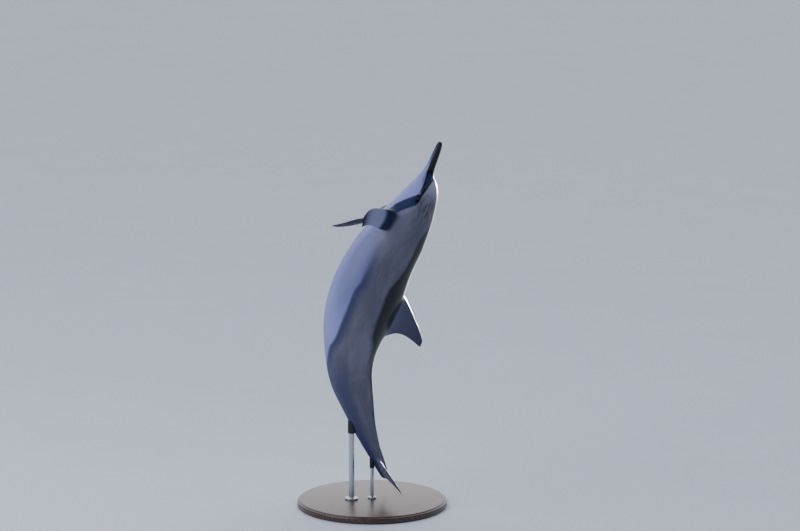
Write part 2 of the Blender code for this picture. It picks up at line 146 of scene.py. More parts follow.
# Which way each side's fins reach, and which way their chord runs, as tailward, bellyward and outward parts.
FLIPPER_RADIAL = ((0.0, 0.70, 0.71), (1.0, 0.0, 0.0))
FLIPPER_POSE = {
    "left": ((0.03, 0.66, 0.75), (0.86, -0.46, 0.06)),
    "right": ((0.72, 0.45, 0.53), (-0.05, 0.60, -0.80)),
}
FLUKE_POSE = ((0.0, 0.0, 1.0), (1.0, 0.0, 0.0))
FLUKE_CURL = ((0.0, -0.14, 0.99), (1.0, 0.0, 0.0))
SHOULDER = 0.20  # part of a fin's reach over which it turns into its pose
BLUNTNESS = 2.6  # scales the fins' section, sqrt(x) * (1 - x), to its stated thickness

EYE_AT, EYE_ANGLE, EYE_RADIUS, EYE_SUNK = 0.161, 102.0, 14.5 * MM, 11.5 * MM
SIDES = {"left": 1, "right": -1}

# ---------------------------------------------------------------- what the skin adds, in metres
FINE_LEVELS, TRUE_LEVELS = 3, 4  # subdivision of the skin, and of the surface its new points settle on
MOUTH = ((-0.010, -0.08), (0.030, -0.02), (0.080, -0.15), (0.105, -0.34), (0.125, -0.46), (0.143, -0.92))
MOUTH_WIDTH, MOUTH_DEPTH = 1.6 * MM, 2.4 * MM
LIP_OFF, LIP_WIDTH, LIP_RISE = 5.0 * MM, 3.0 * MM, 0.7 * MM
# The crease between beak and melon: degrees round the head, part of the length.
CREASE = ((0.0, 0.0965), (20.0, 0.0970), (45.0, 0.1010), (68.0, 0.1090), (80.0, 0.1210), (92.0, 0.1440))
CREASE_WIDTH, CREASE_DEPTH = 5.0 * MM, 2.6 * MM
BLOWHOLE_AT, BLOWHOLE_RADIUS, BLOWHOLE_WIDTH, BLOWHOLE_DEPTH = 0.168, 13 * MM, 1.6 * MM, 5.0 * MM
BLOWHOLE_SPREAD = math.radians(65)
EYE_LONG, UPPER_LID, LOWER_LID = 11.5 * MM, 5.8 * MM, 4.6 * MM  # the opening's half length and two heights
LID_THICK, SOCKET_DEPTH = 1.3 * MM, 4.5 * MM
TIP_BRIM, TIP_DRAWN = 4 * MM, 0.9  # the beak's last stretch, drawn in to stay inside the solids' box

# Folds and slits: points as (part of the length, degrees round), then half width and depth in mm.
FOLDS = (
    (((0.1905, 96), (0.1910, 97)), 2.0, 1.1),  # ear
    (((0.470, 180), (0.477, 180)), 3.0, 3.0),  # navel
    (((0.628, 180), (0.662, 180)), 2.6, 3.5),  # genital slit
    (((0.688, 180), (0.696, 180)), 2.6, 3.0),  # vent
    (((0.196, 40), (0.200, 70), (0.206, 96)), 11.0, 0.9),  # neck
    (((0.286, 128), (0.296, 146)), 5.0, 1.5),  # behind the flipper
    (((0.300, 124), (0.312, 148)), 6.0, 1.2),
    (((0.214, 126), (0.208, 146), (0.212, 160)), 5.0, 1.2),  # before the flipper
    (((0.600, 96), (0.700, 92), (0.800, 92), (0.880, 92)), 16.0, 3.2),  # between tail muscles
    (((0.655, 30), (0.760, 34), (0.860, 40)), 18.0, 1.6),
    (((0.147, 99), (0.152, 105), (0.161, 112), (0.172, 113)), 4.0, 0.7),  # below the eye
    (((0.148, 90), (0.158, 87), (0.171, 90)), 4.0, 0.6),  # above the eye
)

# ---------------------------------------------------------------- markings, on the same coordinates
# The pale field's edge on the jaw: part of the length, then in mm how far below the mouth line and how soft.
JAW_EDGE = (
    (-0.010, 9, 4), (0.050, 10, 5), (0.076, 8, 4), (0.098, 9, 7), (0.110, 10, 9), (0.120, 7, 8),
    (0.132, 2, 6), (0.141, 0, 4), (0.160, 0, 3),
)
# Edges along the body: part of the length, degrees round, and how soft in mm. First the pale field's edge.
PALE_EDGE = (
    (0.130, 103, 4), (0.148, 108, 4), (0.153, 112, 4), (0.162, 124, 5), (0.174, 137, 5), (0.184, 146, 6),
    (0.195, 154, 7), (0.205, 160, 8), (0.225, 162, 14), (0.250, 156, 20), (0.280, 142, 30), (0.310, 128, 36),
    (0.360, 119, 26), (0.420, 116, 13), (0.450, 120, 10), (0.500, 121, 9), (0.560, 128, 9), (0.580, 134, 9),
    (0.605, 150, 10), (0.635, 163, 10), (0.665, 182, 12), (1.0, 196, 12),
)
# The upper edge of the dark band from eye to flipper.
BAND_EDGE = (
    (0.130, 95, 5), (0.168, 94, 6), (0.178, 98, 7), (0.187, 108, 8), (0.202, 122, 8), (0.214, 129, 9),
    (0.245, 134, 11), (0.270, 138, 14), (0.300, 150, 20), (1.0, 150, 20),
)
# The cape's lower edge.
CAPE_EDGE = (
    (0.000, -30, 9), (0.110, -12, 9), (0.150, 10, 10), (0.175, 22, 12), (0.205, 31, 14), (0.255, 50, 14),
    (0.320, 51, 13), (0.380, 60, 13), (0.420, 66, 14), (0.500, 65, 15), (0.540, 62, 16), (0.600, 50, 20),
    (0.680, 38, 26), (0.780, 20, 30), (0.900, 10, 30), (1.0, 10, 30),
)
BEAK_BLACK_TO = 0.092  # the beak is black this far
# Strokes: part of the length, degrees round and half width in mm, at points along each.
BRIDLE = (
    (0.0955, 0, 3), (0.0965, 24, 3), (0.099, 42, 4), (0.108, 66, 5), (0.120, 79, 5), (0.132, 86, 6),
    (0.144, 92, 7), (0.153, 97, 9),
)
EYE_PATCH = ((0.156, 101, 12), (0.164, 101, 14), (0.169, 101, 9))
CHEEK = ((0.094, 78, 22), (0.104, 84, 17), (0.118, 90, 12), (0.141, 99, 7))


# ---------------------------------------------------------------- form functions
def through(knots):
    """A smooth curve through (position, value) pairs that never overshoots them."""
    at, value = np.array(knots, float).T
    step = np.diff(at)
    slope = np.diff(value) / step
    steady = slope[:-1] * slope[1:] > 0
    tangent = np.concatenate([slope[:1], np.zeros(len(at) - 2), slope[-1:]])
    tangent[1:-1][steady] = (2 * slope[:-1] * slope[1:])[steady] / (slope[:-1] + slope[1:])[steady]

    def curve(position):
        i = np.clip(np.searchsorted(at, position) - 1, 0, len(step) - 1)
        t = np.clip((position - at[i]) / step[i], 0.0, 1.0)
        rise = step[i] * (tangent[i] * t * (1 - t) ** 2 - tangent[i + 1] * t**2 * (1 - t))
        return value[i] * (1 + 2 * t) * (1 - t) ** 2 + value[i + 1] * t**2 * (3 - 2 * t) + rise

    return curve


lean_at = through(LEAN)
back_at, belly_at, side_at = (
    through([(row[0] / 100, row[column] / 100 * LENGTH) for row in GIRTH]) for column in (1, 2, 3)
)
keel_at = through(KEEL)
mouth_at = through([(along, off / 100 * LENGTH) for along, off in MOUTH])

SPINE_STEP, SPINE_LEAD = 0.001, 20  # parts of the length, and the steps before the beak tip
SPINE_AT = np.arange(-SPINE_LEAD, 1000 + SPINE_LEAD + 1) * SPINE_STEP
SPINE_LEAN = np.radians(lean_at(np.clip(SPINE_AT, 0.0, 1.0)))
WALK = np.cumsum([np.sin(SPINE_LEAN), -np.cos(SPINE_LEAN)], axis=1) * SPINE_STEP * LENGTH
SPINE_X, SPINE_Z = WALK - WALK[:, SPINE_LEAD, None] + np.array(BEAK_TIP)[:, None]


def spine(along):
    """Point on the spine, the way to the tail and the way to the back."""
    lean = float(np.interp(along, SPINE_AT, SPINE_LEAN))
    x, z = (float(np.interp(along, SPINE_AT, values)) for values in (SPINE_X, SPINE_Z))
    tailward = Vector((math.sin(lean), 0.0, -math.cos(lean)))
    return Vector((x, 0.0, z)), tailward, Vector((math.cos(lean), 0.0, math.sin(lean)))


def surface(along, degrees):
    """Point on the body's surface, `degrees` round from the back over the left side."""
    centre, _, back = spine(along)
    turn = math.radians(degrees)
    depth = float(back_at(along) if math.cos(turn) > 0 else belly_at(along))
    width = math.copysign(abs(math.sin(turn)) ** (1 + float(keel_at(along))), math.sin(turn))
    return centre + back * (depth * math.cos(turn)) + Vector((0.0, -float(side_at(along)) * width, 0.0))


def controls(points, closed):
    """Cage points that subdivision carries through the given points, along the first axis."""
    count = len(points)
    mix = (np.eye(count) * 4 + np.eye(count, k=1) + np.eye(count, k=-1)) / 6
    if closed:
        mix[0, -1] = mix[-1, 0] = 1 / 6
    else:
        mix[0], mix[-1] = np.eye(count)[0], np.eye(count)[-1]
    return np.linalg.solve(mix, points.reshape(count, -1)).reshape(points.shape)


def aim(parts, along, outward):
    """A direction from its tailward, bellyward and outward parts."""
    _, tailward, back = spine(along)
    return (tailward * parts[0] - back * parts[1] + outward * parts[2]).normalized()


def fin_loops(root, rest, pose, upper, rows, shape):
    """Loops round a fin: front edge, upper face to the rear, rear edge, lower face to the front."""
    loops = []
    place, reached = root.copy(), 0.0
    across = [(i + 0.5) / rows for i in range(rows)]
    for out, front, rear, thick in shape:
        turned = min(out / (SHOULDER * shape[-1][0]), 1.0)
        span = rest[0].lerp(pose[0], turned).normalized()
        chord = rest[1].lerp(pose[1], turned)
        chord = (chord - span * chord.dot(span)).normalized()
        face = span.cross(chord)
        face *= math.copysign(1.0, face.dot(upper))
        place = place + span * (out - reached)
        reached = out
        faces = [(x, thick / 2 * BLUNTNESS * (1 - x) * math.sqrt(x)) for x in across]
        loop = [(0.0, 0.0), *faces, (1.0, 0.0), *[(x, -half) for x, half in reversed(faces)]]
        points = [place + chord * (front + (rear - front) * x) + face * half for x, half in loop]
        loops.append(controls(np.array(points), closed=True))
    return loops


# ---------------------------------------------------------------- the cage and its bake map
BODY_MAP = (0.01, 0.64, 0.01, 0.99)  # left, right, low and high edges of the body's part of the map
FIN_MAP_LEFT, FIN_MAP_WIDE, FIN_MAP_TALL, FIN_MAP_PITCH, CAP_TALL = 0.67, 0.31, 0.150, 0.192, 0.018
HEAD_SHARE = 2.6  # how much longer the head is drawn on the map than the rest
FIN_NAMES = ("dorsal", "flipper_left", "flipper_right", "fluke_left", "fluke_right")


def add_face(cage, verts, places):
    """A face of the cage, with its corners' places on the bake map."""
    layer = cage.loops.layers.uv.active
    face = cage.faces.new(verts)
    for loop, place in zip(face.loops, places):
        loop[layer].uv = place


def grow(cage, grid, rings, middle, side, loops, name):
    """Opens the patch of two columns beside `middle` over `rings`, and grows a fin's loops out of it."""
    first = RINGS.index(rings[0])
    rows = range(first, first + len(rings))
    upper, lower = (middle - side) % ROUND, (middle + side) % ROUND
    patch = {grid[row][column] for row in rows for column in (upper, middle, lower)}
    inner = [face for face in cage.faces if patch.issuperset(face.verts)]
    bmesh.ops.delete(cage, geom=inner, context="FACES_ONLY")
    loop = [grid[rows[0]][middle], *[grid[row][upper] for row in rows]]
    loop += [grid[rows[-1]][middle], *[grid[row][lower] for row in reversed(rows)]]
    count = len(loop)
    low = BODY_MAP[2] + FIN_MAP_PITCH * FIN_NAMES.index(name)

    def on_map(turn, level):
        return FIN_MAP_LEFT + FIN_MAP_WIDE * turn / count, low + FIN_MAP_TALL * level / len(loops)

    for level, points in enumerate(loops):
        outer = [cage.verts.new(point) for point in points]
        for k in range(count):
            before = (k - 1) % count
            corners = ((before + 1, level), (before, level), (before, level + 1), (before + 1, level + 1))
            places = [on_map(*corner) for corner in corners]
            add_face(cage, (loop[k], loop[before], outer[before], outer[k]), places)
        loop = outer

    def on_cap(k):
        chordwise = min(k, count - k) / (count / 2)
        raised = 0.5 if k in (0, count // 2) else float(k > count // 2)
        return FIN_MAP_LEFT + FIN_MAP_WIDE * chordwise, low + FIN_MAP_TALL + CAP_TALL * (0.5 + raised)

    strips = [(0, 1, count - 1)]
    strips += [(k, k + 1, count - k - 1, count - k) for k in range(1, count // 2 - 1)]
    strips.append((count // 2 - 1, count // 2, count // 2 + 1))
    for strip in strips:
        add_face(cage, [loop[k] for k in strip], [on_cap(k) for k in strip])


def body_cage():
    """The whole animal as one coarse closed cage."""
    turns = [*HALF_ROUND, *[360 - degrees for degrees in HALF_ROUND[-2:0:-1]]]
    points = np.array([[surface(along, degrees) for degrees in turns] for along in RINGS])
    points = controls(controls(points, closed=False).swapaxes(0, 1), closed=True).swapaxes(0, 1)
    cage = bmesh.new()
    cage.loops.layers.uv.new("OFBake")
    grid = [[cage.verts.new(point) for point in ring] for ring in points]

    left, right, low, high = BODY_MAP
    half = ROUND // 2
    parts = [((turns[(k + half) % ROUND] - 180) % 360) / 360 for k in range(ROUND)] + [1.0]
    across = [left + (right - left) * part for part in parts]
    shares = np.diff(RINGS) * np.where(np.array(RINGS[1:]) < 0.2, HEAD_SHARE, 1.0)
    down = high - (high - low) * np.concatenate([[0.0], np.cumsum(shares)]) / shares.sum()
    for row, (ahead, behind) in enumerate(zip(grid, grid[1:])):
        for k in range(ROUND):
            column = (k - 1 - half) % ROUND
            places = [(across[column], down[row]), (across[column + 1], down[row])]
            places += [(across[column + 1], down[row + 1]), (across[column], down[row + 1])]
            add_face(cage, (ahead[k - 1], ahead[k], behind[k], behind[k - 1]), places)
    for ring, centre in ((grid[0], 0.72), (list(reversed(grid[-1])), 0.92)):
        spread = [Vector((math.cos(turn), math.sin(turn))) for turn in np.arange(ROUND) * 2 * math.pi / ROUND]
        add_face(cage, ring, [Vector((centre, 0.982)) + 0.012 * way for way in spread])

    root, rear = surface(DORSAL_RINGS[0], 0), surface(DORSAL_RINGS[-1], 0)
    chord = (rear - root).normalized()
    way = (chord.cross(Vector((0, 1, 0))), chord)
    loops = fin_loops(root, way, way, Vector((0, -1, 0)), len(DORSAL_RINGS), DORSAL_FIN)
    grow(cage, grid, DORSAL_RINGS, 0, -1, loops, "dorsal")
    for side, turn in SIDES.items():
        limbs = (
            ("flipper_", FLIPPER_RINGS, 2, FLIPPER_COLUMN, (FLIPPER_RADIAL, FLIPPER_POSE[side]), FLIPPER),
            ("fluke_", FLUKE_RINGS, 0, FLUKE_COLUMN, (FLUKE_POSE, FLUKE_CURL), FLUKE),
        )
        for name, rings, foremost, column, ways, shape in limbs:
            along = rings[2]
            root = surface(rings[foremost], turn * HALF_ROUND[column])
            rest, pose = ([aim(parts, along, Vector((0, -turn, 0))) for parts in way] for way in ways)
            loops = fin_loops(root, rest, pose, spine(along)[2], len(rings), shape)
            grow(cage, grid, rings, turn * column % ROUND, turn, loops, name + side)
    bmesh.ops.delete(cage, geom=[vert for vert in cage.verts if not vert.link_faces], context="VERTS")
    bmesh.ops.recalc_face_normals(cage, faces=cage.faces)
    return mesh_of(cage, "body_cage")


def mesh_of(shape, name):
    mesh = bpy.data.meshes.new(name)
    shape.to_mesh(mesh)
    shape.free()
    return mesh


def placed(name, data):
    """A new object of the scene with that data, at the origin."""
    thing = bpy.data.objects.new(name, data)
    bpy.context.scene.collection.objects.link(thing)
    return thing


def smoothed(mesh, levels):
    """A bmesh of the mesh subdivided that many times."""
    maker = placed("maker", mesh)
    step = maker.modifiers.new("smooth", "SUBSURF")
    step.levels = step.render_levels = levels
    bpy.context.view_layer.update()
    shape = bmesh.new()
    made = bpy.data.meshes.new_from_object(maker.evaluated_get(bpy.context.evaluated_depsgraph_get()))
    shape.from_mesh(made)
    bpy.data.meshes.remove(made)
    bpy.data.objects.remove(maker)
    return shape


# ---------------------------------------------------------------- where a point lies on the body
class Places:
    """Body coordinates of many points: along, off the spine, side, and degrees round from the back."""

    def __init__(self, points):
        nearest = np.concatenate([
            np.argmin((block[:, 0:1] - SPINE_X) ** 2 + (block[:, 2:3] - SPINE_Z) ** 2, axis=1)
            for block in np.array_split(points, max(1, len(points) // 4000))
        ])
        away_x, away_z = points[:, 0] - SPINE_X[nearest], points[:, 2] - SPINE_Z[nearest]
        lean = SPINE_LEAN[nearest]
        self.points = points
        self.along = SPINE_AT[nearest] + (away_x * np.sin(lean) - away_z * np.cos(lean)) / LENGTH
        self.off = away_x * np.cos(lean) + away_z * np.sin(lean)
        self.side = -points[:, 1]  # positive on the left
        within = np.clip(self.along, 0.0, 1.0)
        depth = np.where(self.off > 0, back_at(within), belly_at(within))
        wide = (np.abs(self.side) / side_at(within)) ** (1 / (1 + keel_at(within)))
        self.degrees = np.degrees(np.arctan2(wide, self.off / depth))
        self.radius = (depth + side_at(within)) / 2
        self.out = (np.hypot(wide, self.off / depth) - 1) * self.radius
        self.arc = self.radius * math.pi / 180  # metres for one degree

    def to_stroke(self, knots):
        """Distance to a line of points on the skin, mirrored on the other side, and the part along it."""
        best = np.full(len(self.along), 9.0)
        part = np.zeros(len(self.along))
        steps = len(knots) - 1
        for i in range(steps):
            (along0, degrees0), (along1, degrees1) = knots[i][:2], knots[i + 1][:2]
            length = np.full_like(self.arc, (along1 - along0) * LENGTH)
            run = np.array([length, (degrees1 - degrees0) * self.arc])
            here = np.array([(self.along - along0) * LENGTH, (self.degrees - degrees0) * self.arc])
            t = np.clip((run * here).sum(0) / (run**2).sum(0), 0.0, 1.0)
            gap = np.hypot(*(here - run * t))
            closer = gap < best
            best, part = np.where(closer, gap, best), np.where(closer, (i + t) / steps, part)
        return best, part


def eye_frame(turn):
    """Eye centre, and its ways tailward, up towards the back, and outward."""
    centre, tailward, _ = spine(EYE_AT)
    skin = surface(EYE_AT, turn * EYE_ANGLE)
    outward = (skin - centre).normalized()
    middle = skin - outward * EYE_SUNK
    tailward = (tailward - outward * tailward.dot(outward)).normalized()
    upward = outward.cross(tailward) * -turn
    return middle, np.array([tailward, upward, outward])


def in_eye_frame(points, turn):
    middle, axes = eye_frame(turn)
    return (points - np.array(middle)) @ axes.T


def to_mouth(at):
    """Height above the mouth line, and distance to the line, which ends at the corner of the mouth."""
    height = at.off - mouth_at(np.clip(at.along, MOUTH[0][0], MOUTH[-1][0]))
    past = np.maximum(at.along - MOUTH[-1][0], 0.0) * LENGTH
    return height, np.hypot(height, past)


def to_crease(at):
    """Distance tailward of the crease between beak and melon."""
    return (at.along - through(CREASE)(np.clip(at.degrees, 0.0, CREASE[-1][0]))) * LENGTH


def to_blowhole(at):
    """Distance to the blowhole's crescent, which opens towards the beak."""
    forward = (at.along - BLOWHOLE_AT) * LENGTH + BLOWHOLE_RADIUS
    turn = np.clip(np.arctan2(at.side, forward), -BLOWHOLE_SPREAD, BLOWHOLE_SPREAD)
    gap = np.hypot(forward - BLOWHOLE_RADIUS * np.cos(turn), at.side - BLOWHOLE_RADIUS * np.sin(turn))
    return np.where(at.off > 0, gap, 1.0)


def ease(value, low, high):
    """0 below `low`, 1 above `high` and smooth between."""
    t = np.clip((value - low) / (high - low), 0.0, 1.0)
    return t * t * (3 - 2 * t)


def bell(distance, width):
    return np.exp(-((distance / width) ** 2))


def wanted_edge(points):
    """How long an edge of the skin may be at each point, from limits in mm where each kind of detail lies."""
    at = Places(points)
    on_head = at.along < 0.215
    limits = [(on_head, 4.5)]
    limits.append((on_head & (to_mouth(at)[1] < 7 * MM), 1.6))
    limits.append((on_head & (to_blowhole(at) < 9 * MM), 1.3))
    for turn in SIDES.values():
        away = np.linalg.norm(in_eye_frame(points, turn), axis=1)
        limits += [(away < 36 * MM, 2.2), (away < 21 * MM, 1.1)]
    for knots, width, _ in FOLDS:
        close = (at.to_stroke(knots)[0] < 2 * width * MM) & (at.out < 8 * MM)
        limits.append((close, max(width * 0.7, 1.6)))
    return np.min([np.where(close, limit * MM, 1.0) for close, limit in limits], axis=0)


def refine(shape, truth):
    """Splits the skin's long edges where detail comes, and settles each new point on the true surface."""
    for _ in range(4):
        ends = np.array([(edge.verts[0].co, edge.verts[1].co) for edge in shape.edges])
        long = np.linalg.norm(ends[:, 0] - ends[:, 1], axis=1) > 1.35 * wanted_edge(ends.mean(1))
        edges = [edge for edge, split in zip(shape.edges, long) if split]
        if not edges:
            break
        known = len(shape.verts)
        bmesh.ops.subdivide_edges(shape, edges=edges, cuts=1, use_grid_fill=True)
        shape.verts.ensure_lookup_table()
        for vert in shape.verts[known:]:
            vert.co = truth.find_nearest(vert.co)[0]
    shape.normal_update()


def relief(at):
    """How far each point of the skin is raised along its normal."""
    rise = np.zeros(len(at.along))
    height, from_mouth = to_mouth(at)
    on_beak = 1 - ease(at.along, MOUTH[-1][0], MOUTH[-1][0] + 0.008)
    rise -= MOUTH_DEPTH * bell(from_mouth, MOUTH_WIDTH) * (1 - ease(at.along, 0.130, MOUTH[-1][0] + 0.001))
    rise += LIP_RISE * bell(np.abs(height) - LIP_OFF, LIP_WIDTH) * on_beak * ease(at.along, 0.010, 0.040)
    rise -= CREASE_DEPTH * bell(to_crease(at), CREASE_WIDTH) * (1 - ease(at.degrees, 70, 92))
    blow = to_blowhole(at)
    rise -= BLOWHOLE_DEPTH * np.exp(-((blow / BLOWHOLE_WIDTH) ** 4))
    rise += 1.3 * MM * bell(blow - 4.2 * MM, 2.4 * MM)  # the low rim round it
    on_body = 1 - ease(at.out, 8 * MM, 16 * MM)
    for knots, width, depth in FOLDS:
        rise -= depth * MM * bell(at.to_stroke(knots)[0], width * MM) * on_body
    # Slow swells of muscle and blubber.
    turn = np.radians(at.degrees)
    swell = np.sin(at.along * 47 + 1.3 * np.sin(turn * 3)) * np.sin(turn * 4 + 0.7)
    rise += 0.9 * MM * swell * on_body * ease(at.along, 0.20, 0.30)
    return rise


def open_eye(points, turn):
    """Raises lids over the eyeball and sinks the skin between them behind it."""
    middle, axes = eye_frame(turn)
    across, up, out = in_eye_frame(points, turn).T
    reach = np.hypot(across, up)
    near = (reach < 34 * MM) & (out > 0)
    across, up, out, reach = across[near], up[near], out[near], reach[near]
    ball = EYE_RADIUS + LID_THICK
    over = np.sqrt(np.maximum(ball**2 - reach**2, 0.0))
    blend = 1.6 * MM
    lid = (out + over + np.sqrt((out - over) ** 2 + blend**2)) / 2 - blend / 2 * bell(reach, 60 * MM)
    lid = np.where(reach < ball, lid, out + (lid - out) * bell(reach - ball, 6 * MM))
    narrow = np.clip(1 - (across / EYE_LONG) ** 2, 0.0, 1.0) ** 0.8
    above, below = UPPER_LID * narrow - up, up + LOWER_LID * narrow
    inside = np.where(np.abs(across) < EYE_LONG, np.minimum(above, below), -1.0)
    # A fold above the opening and one below it, then a rim along the edges of the lids.
    for edge, off, deep in ((above, 4.6 * MM, 0.7 * MM), (below, 4.2 * MM, 0.6 * MM)):
        lid -= deep * bell(edge + off, 1.3 * MM) * bell(across, 12 * MM)
    lid += 0.45 * MM * bell(inside + 0.9 * MM, 0.9 * MM) * (np.abs(across) < EYE_LONG)
    lid -= SOCKET_DEPTH * ease(inside, -0.1 * MM, 1.1 * MM)
    moved = points.copy()
    moved[near] = np.array(middle) + np.stack([across, up, lid], axis=1) @ axes
    return moved


def fin_places(mesh):
    """For each point: which fin it is on (-1 for none), and how far out, both from its place on the map."""
    corner = np.empty(len(mesh.loops), np.int32)
    mesh.loops.foreach_get("vertex_index", corner)
    place = np.empty(len(mesh.loops) * 2, np.float32)
    mesh.uv_layers["OFBake"].data.foreach_get("uv", place)
    across, height = place.reshape(-1, 2).T
    index = ((height - BODY_MAP[2]) // FIN_MAP_PITCH).astype(int)
    on_fin = (across > (BODY_MAP[1] + FIN_MAP_LEFT) / 2) & (index < len(FIN_NAMES))
    level = (height - BODY_MAP[2] - index * FIN_MAP_PITCH) / FIN_MAP_TALL
    which, reach = np.full(len(mesh.vertices), -1), np.zeros(len(mesh.vertices))
    which[corner[on_fin]] = index[on_fin]
    reach[corner[on_fin]] = np.minimum(level, 1.0)[on_fin]
    return which, reach


def set_attribute(mesh, name, values, kind="FLOAT"):
    layer = mesh.attributes.new(name, kind, "POINT")
    layer.data.foreach_set("value" if kind == "FLOAT" else "vector", np.asarray(values, np.float32).ravel())


def mark(mesh, at):
    """Stores the markings and the painted shade on the flippers' inner faces: 0 at a marking's edge, and 1
    inside and -1 outside over the edge's softness.
    """
    def edge(table):
        """How far below each point the edge lies, in metres, and how soft it is."""
        degrees = through([row[:2] for row in table])(at.along)
        return (at.degrees - degrees) * at.arc, through([(row[0], row[2] * MM) for row in table])(at.along)

    def stroke(knots, soft):
        gap, part = at.to_stroke(knots)
        widths = [knot[2] * MM for knot in knots]
        return (np.interp(part, np.linspace(0, 1, len(knots)), widths) - gap) / soft

    height, from_mouth = to_mouth(at)
    below, soft = (through([(row[0], row[k] * MM) for row in JAW_EDGE])(at.along) for k in (1, 2))
    behind_jaw = ease(at.along, 0.138, 0.150)  # there the pale field's edge is the one along the body
    pale_gap, pale_soft = edge(PALE_EDGE)
    pale_gap = pale_gap * behind_jaw + (-height - below) * (1 - behind_jaw)
    pale = pale_gap / (pale_soft * behind_jaw + soft * (1 - behind_jaw))
    band_gap, band_soft = edge(BAND_EDGE)
    band = band_gap / band_soft - 3 * (1 - ease(at.along, 0.150, 0.162) * (1 - ease(at.along, 0.27, 0.31)))
    band = np.maximum(band, stroke(CHEEK, 7 * MM))
    # Black over the mouth line and at the beak's tip, and along the lips as far as the mouth's corner.
    beak = np.minimum((height + below) / (2.5 * MM), (BEAK_BLACK_TO - at.along) * LENGTH / (11 * MM))
    beak = np.maximum(beak, (0.022 - at.along) * LENGTH / (9 * MM))
    lip = 3.2 * MM - 2.4 * MM * ease(at.along, 0.122, 0.145) - 40 * MM * ease(at.along, 0.145, 0.150)
    ink = np.maximum(beak, (lip - from_mouth) / (2 * MM))
    ink = np.maximum(ink, np.maximum(stroke(BRIDLE, 3.5 * MM), stroke(EYE_PATCH, 5 * MM)))
    cape_gap, cape_soft = edge(CAPE_EDGE)
    which, reach = fin_places(mesh)
    on_flipper = (which == 1) | (which == 2)
    # A flipper's inner face looks towards the body's middle plane, and gets painted shade.
    facing = np.array([vert.normal.y for vert in mesh.vertices]) * np.sign(at.side)
    fin_foot = (1 - ease(at.degrees, 8, 20)) * ease(at.along, 0.43, 0.46) * (1 - ease(at.along, 0.55, 0.60))
    on_fin = np.where((which >= 0) & ~on_flipper, ease(reach, 0.0, 0.15), 0.0)
    values = {
        "pale": pale,
        "pale_gap": pale_gap,
        "band": band,
        "cape": -cape_gap / cape_soft,
        "ink": ink,
        "fin": np.maximum(on_fin, 0.7 * fin_foot),
        "flipper": np.where(on_flipper, ease(reach, 0.02, 0.14), 0.0),
        "fin_out": reach,
        "flipper_inner_shade": np.where(on_flipper, ease(facing, 0.0, 0.35), 0.0),
        "along": at.along,
        "degrees": at.degrees,
    }
    for name, value in values.items():
        set_attribute(mesh, name, np.clip(value, -9, 360))
    set_attribute(mesh, "straight", np.stack([at.along * LENGTH, at.off, at.side], axis=1), "FLOAT_VECTOR")


def points_of(mesh):
    points = np.empty(len(mesh.vertices) * 3, np.float32)
    mesh.vertices.foreach_get("co", points)
    return points.reshape(-1, 3).astype(float)


def add_piece(name, mesh, finish, slot, *nodes):
    """A piece of the model on the one body, with its finish, in place of the named solids."""
    piece = placed(name, mesh)
    mesh.materials.clear()
    mesh.materials.append(finish)
    mesh.shade_smooth()
    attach(piece, "root")
    if nodes:
        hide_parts(*nodes)


def build_skin():
    cage = body_cage()
    exact = smoothed(cage, TRUE_LEVELS)
    truth = BVHTree.FromBMesh(exact)
    exact.free()
    shape = smoothed(cage, FINE_LEVELS)
    bpy.data.meshes.remove(cage)
    refine(shape, truth)
    normals = np.array([vert.normal for vert in shape.verts])
    skin = mesh_of(shape, "skin")
    at = Places(points_of(skin))
    mark(skin, at)
    points = at.points + normals * relief(at)[:, None]
    for turn in SIDES.values():
        points = open_eye(points, turn)
    brim = CAD_BOX[1][2] - TIP_BRIM
    points[:, 2] = np.where(points[:, 2] > brim, brim + (points[:, 2] - brim) * TIP_DRAWN, points[:, 2])
    skin.vertices.foreach_set("co", points.astype(np.float32).ravel())
    skin.update()
    flesh = [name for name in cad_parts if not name.startswith(("stand_", "eye_"))]
    add_piece("skin", skin, dolphin_skin(), "flank_skin", *flesh)
    return truth


# ---------------------------------------------------------------- materials
def linear(code):
    """An sRGB hex colour as linear RGBA."""
    parts = [int(code[i : i + 2], 16) / 255 for i in (0, 2, 4)]
    return *[part / 12.92 if part <= 0.04045 else ((part + 0.055) / 1.055) ** 2.4 for part in parts], 1.0


def add(tree, kind, inputs=(), out=0, **settings):
    """Adds a node with its settings, gives its inputs values or links, and returns one of its outputs."""
    made = tree.nodes.new("ShaderNode" + kind)
    for name, value in settings.items():
        setattr(made, name, value)
    for socket, value in dict(inputs).items():
        if isinstance(value, bpy.types.NodeSocket):
            tree.links.new(value, made.inputs[socket])
        else:
            made.inputs[socket].default_value = value
    return made.outputs[out]


def new_material(name, **values):
    """A material, its node tree and its shader, with values that are the same all over it."""
    made = bpy.data.materials.new(name)
    made.use_nodes = True
    shader = made.node_tree.nodes["Principled BSDF"]
    for socket, value in values.items():
        shader.inputs[socket.replace("_", " ")].default_value = value
    return made, made.node_tree, shader


def link_up(made, shader, **outputs):
    """Links what varies over a material to its shader, and returns the material."""
    for socket, output in outputs.items():
        made.node_tree.links.new(output, shader.inputs[socket.replace("_", " ")])
    return made


def layered(tree, colour, *layers):
    """Lays colours over the first one, each with its mask. A colour is an sRGB hex code or an output."""
    for mask, over in layers:
        below, above = (linear(shade) if isinstance(shade, str) else shade for shade in (colour, over))
        colour = add(tree, "Mix", {0: mask, 6: below, 7: above}, out=2, data_type="RGBA")
    return colour


SOFT = {"interpolation_type": "SMOOTHSTEP"}


def masked(tree, strength, *steps):
    """A mask of that strength where each value has passed from its first limit to its second."""
    for value, start, end in steps:
        passed = add(tree, "MapRange", {0: value, 1: start, 2: end}, **SOFT)
        strength = add(tree, "Math", {0: strength, 1: passed}, operation="MULTIPLY")
    return strength


